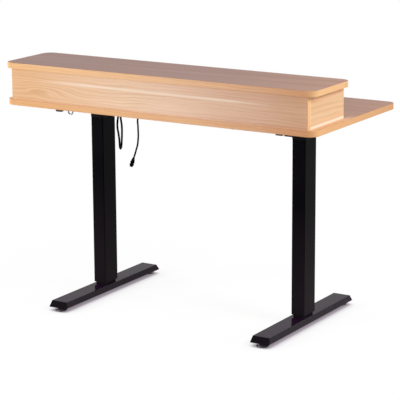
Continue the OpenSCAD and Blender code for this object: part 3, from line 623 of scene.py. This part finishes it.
def dress_nodes(materials):
    """Each CAD node gets its slot's finish, or one of its own."""
    for part in frame["record"]["subparts"]:
        name = part["node"]
        finish = materials[SPECIAL_FINISH.get(name, part["material_slot"])]
        mesh = nodes[name].data
        mesh.materials.clear()
        mesh.materials.append(finish)


# Small roundings on the CAD pieces' edges, in millimetres

ROUNDING = {
    "worktop_edging": 1.2,
    "shelf_edging": 1.2,
    "back_panel": 0.5,
    "side_panel_right": 0.5,
    "side_panel_left": 0.5,
    "foot_right": 1.0,
    "foot_left": 1.0,
    "gear_housing_right": 1.0,
    "gear_housing_left": 1.0,
    "bracket_right": 0.5,
    "bracket_left": 0.5,
    "outer_tube_right": 0.4,
    "outer_tube_left": 0.4,
    "control_box": 0.8,
    "cable_clips": 0.8,
    "handset": 1.0,
    "handset_face": 0.4,
    "motor": 0.8,
    "coupler_right": 0.6,
    "coupler_left": 0.6,
    "rail_bolts": 0.4,
}
BUTTON_ROUNDING = 0.5


def round_edges(piece, width):
    weld = piece.modifiers.new("weld", "WELD")
    weld.merge_threshold = 0.00001
    bevel = piece.modifiers.new("bevel", "BEVEL")
    bevel.width = width * MM
    bevel.segments = 3
    bevel.limit_method = "ANGLE"
    bevel.angle_limit = math.radians(38)
    bevel.use_clamp_overlap = True
    normals = piece.modifiers.new("normals", "WEIGHTED_NORMAL")
    normals.keep_sharp = False


# Signs on the buttons: arrows to raise and lower, dots for three stored heights, a diamond to store

SIGN_PROUD = 0.10
SIGN_SUNK = 0.30
ARROW_WIDTH = 1.7
ARROW_HEIGHT = 1.3
DOT_RADIUS = 0.45
DOT_PITCH = 1.5
DIAMOND_REACH = 1.5
ROUND_SIDES = 24


def circle(x, z, radius):
    return [
        (x + radius * math.cos(2 * math.pi * i / ROUND_SIDES),
         z + radius * math.sin(2 * math.pi * i / ROUND_SIDES))
        for i in range(ROUND_SIDES)]


def arrow(way):
    """Triangle that points up or down."""
    return [
        (-ARROW_WIDTH, -way * ARROW_HEIGHT),
        (ARROW_WIDTH, -way * ARROW_HEIGHT),
        (0.0, way * ARROW_HEIGHT)]


def dots(count):
    """Dots side by side."""
    return [circle((i - (count - 1) / 2) * DOT_PITCH, 0.0, DOT_RADIUS) for i in range(count)]


def diamond():
    reach = DIAMOND_REACH
    return [(0.0, -reach), (reach, 0.0), (0.0, reach), (-reach, 0.0)]


def add_sign(button, outlines, material):
    """Raised outlines on the middle of a button's front."""
    low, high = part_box(button)
    middle = (low + high) / 2
    vertices = []
    faces = []
    for outline in outlines:
        count = len(outline)
        start = len(vertices)
        for depth in (-SIGN_PROUD, SIGN_SUNK):
            for x, z in outline:
                vertices.append((middle.x + x * MM, low.y + depth * MM, middle.z + z * MM))
        front = list(range(start, start + count))
        back = [i + count for i in front]
        faces.append(front)
        faces.append(back[::-1])
        for i in range(count):
            faces.append([front[i - 1], back[i - 1], back[i], front[i]])
    mesh = bpy.data.meshes.new(button + "_sign")
    mesh.from_pydata(vertices, [], faces)
    mesh.materials.append(material)
    sign = bpy.data.objects.new(button + "_sign", mesh)
    bpy.context.scene.collection.objects.link(sign)
    shape = bmesh.new()
    shape.from_mesh(mesh)
    bmesh.ops.recalc_face_normals(shape, faces=shape.faces)
    shape.to_mesh(mesh)
    shape.free()
    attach(sign, button)


SIGNS = {
    "button_up": [arrow(1)],
    "button_down": [arrow(-1)],
    "button_one": dots(1),
    "button_two": dots(2),
    "button_three": dots(3),
    "button_set": [diamond()],
}


# Floor, world and lamps

FLOOR_SIZE = 24.0
FLOOR_FADE_START = 0.75
FLOOR_FADE_END = 1.35
FLOOR_BOUNCE = (0.78, 0.78, 0.78, 1.0)
CONTACT_REACH = 0.06
CONTACT_STOPS = [
    (0.0, (0.19, 0.16, 0.19, 1.0)), (0.35, (0.36, 0.32, 0.36, 1.0)),
    (0.8, (0.88, 0.87, 0.88, 1.0)), (1.0, (0.905, 0.905, 0.905, 1.0)),
]
SOFT_SHADOW = (0.125, 0.125, 0.125, 1.0)
AMBIENT_STRENGTH = 0.316


def seen_directly(tree):
    """1 for camera, mirror and see-through rays, 0 for the rays that light the object."""
    path = tree.nodes.new("ShaderNodeLightPath")
    first = tree.nodes.new("ShaderNodeMath")
    first.operation = "MAXIMUM"
    tree.links.new(path.outputs["Is Camera Ray"], first.inputs[0])
    tree.links.new(path.outputs["Is Glossy Ray"], first.inputs[1])
    second = tree.nodes.new("ShaderNodeMath")
    second.operation = "MAXIMUM"
    tree.links.new(first.outputs[0], second.inputs[0])
    tree.links.new(path.outputs["Is Transmission Ray"], second.inputs[1])
    return second.outputs[0]


def mix_shaders(tree, factor, first, second):
    node = tree.nodes.new("ShaderNodeMixShader")
    tree.links.new(factor, node.inputs[0])
    tree.links.new(first.outputs[0], node.inputs[1])
    tree.links.new(second.outputs[0], node.inputs[2])
    return node


def plain_shader(tree, kind, colour):
    node = tree.nodes.new(kind)
    node.inputs["Color"].default_value = colour
    return node


def add_floor():
    """White floor with the shadows under and beside the feet, fading to plain white."""
    bpy.ops.mesh.primitive_plane_add(size=FLOOR_SIZE)
    floor = bpy.context.object
    floor.name = "floor"
    material = bpy.data.materials.new("floor")
    material.use_nodes = True
    tree = material.node_tree
    tree.nodes.clear()
    output = tree.nodes.new("ShaderNodeOutputMaterial")

    contact = tree.nodes.new("ShaderNodeAmbientOcclusion")
    contact.samples = 16
    contact.inputs["Distance"].default_value = CONTACT_REACH
    tones = tree.nodes.new("ShaderNodeValToRGB")
    while len(tones.color_ramp.elements) < len(CONTACT_STOPS):
        tones.color_ramp.elements.new(0.5)
    for element, (position, colour) in zip(tones.color_ramp.elements, CONTACT_STOPS):
        element.position = position
        element.color = colour
    tree.links.new(contact.outputs["AO"], tones.inputs["Fac"])
    contact_glow = plain_shader(tree, "ShaderNodeEmission", (1.0, 1.0, 1.0, 1.0))
    tree.links.new(tones.outputs["Color"], contact_glow.inputs["Color"])
    near = tree.nodes.new("ShaderNodeAddShader")
    soft = plain_shader(tree, "ShaderNodeBsdfDiffuse", SOFT_SHADOW)
    tree.links.new(soft.outputs[0], near.inputs[0])
    tree.links.new(contact_glow.outputs[0], near.inputs[1])

    place = tree.nodes.new("ShaderNodeTexCoord")
    distance = tree.nodes.new("ShaderNodeVectorMath")
    distance.operation = "LENGTH"
    tree.links.new(place.outputs["Object"], distance.inputs[0])
    fade = tree.nodes.new("ShaderNodeMapRange")
    fade.inputs["From Min"].default_value = FLOOR_FADE_START
    fade.inputs["From Max"].default_value = FLOOR_FADE_END
    tree.links.new(distance.outputs["Value"], fade.inputs["Value"])
    white = plain_shader(tree, "ShaderNodeEmission", (1.0, 1.0, 1.0, 1.0))
    shown = mix_shaders(tree, fade.outputs["Result"], near, white)

    bounce = plain_shader(tree, "ShaderNodeBsdfDiffuse", FLOOR_BOUNCE)
    both = mix_shaders(tree, seen_directly(tree), bounce, shown)
    tree.links.new(both.outputs[0], output.inputs["Surface"])
    floor.data.materials.append(material)


def add_world():
    world = bpy.data.worlds.new("world")
    bpy.context.scene.world = world
    world.use_nodes = True
    tree = world.node_tree
    tree.nodes.clear()
    output = tree.nodes.new("ShaderNodeOutputWorld")
    ambient = plain_shader(tree, "ShaderNodeBackground", (1.0, 1.0, 1.0, 1.0))
    ambient.inputs["Strength"].default_value = AMBIENT_STRENGTH
    white = plain_shader(tree, "ShaderNodeBackground", (1.0, 1.0, 1.0, 1.0))
    both = mix_shaders(tree, seen_directly(tree), ambient, white)
    tree.links.new(both.outputs[0], output.inputs["Surface"])


def add_lamp(name, place, target, size, power):
    data = bpy.data.lights.new(name, "AREA")
    data.shape = "SQUARE"
    data.size = size
    data.energy = power
    lamp = bpy.data.objects.new(name, data)
    direction = Vector(target) - Vector(place)
    lamp.location = place
    lamp.rotation_euler = direction.to_track_quat("-Z", "Y").to_euler()
    bpy.context.scene.collection.objects.link(lamp)


def add_lamps():
    add_lamp("rear_lamp", (2.2, 2.7, 1.2), (0.0, 0.3, 0.7), 1.2, 64)
    add_lamp("side_lamp", (-3.1, 0.5, 2.4), (-0.3, 0.0, 0.6), 1.0, 56)
    add_lamp("front_lamp", (-2.0, -3.4, 1.5), (0.0, 0.0, 0.6), 1.6, 35)
    add_lamp("right_lamp", (3.4, -0.6, 1.6), (0.0, 0.0, 0.6), 1.6, 30)


bpy.context.scene.view_settings.view_transform = "Standard"
add_camera()
materials = make_materials()
dress_nodes(materials)

motor_cable, motor_cable_length = add_cord(
    "motor_cord", "motor_cable", MOTOR_CABLE_ROUTE, MOTOR_CABLE_DIAMETER, materials["cable"])
supply_lead, supply_lead_length = add_cord(
    "supply_cord", "supply_lead", SUPPLY_LEAD_ROUTE, SUPPLY_LEAD_DIAMETER, materials["cable"])

for name, width in ROUNDING.items():
    round_edges(nodes[name], width)
for name, outlines in SIGNS.items():
    round_edges(nodes[name], BUTTON_ROUNDING)
    add_sign(name, outlines, materials["sign"])

add_floor()
add_world()
add_lamps()
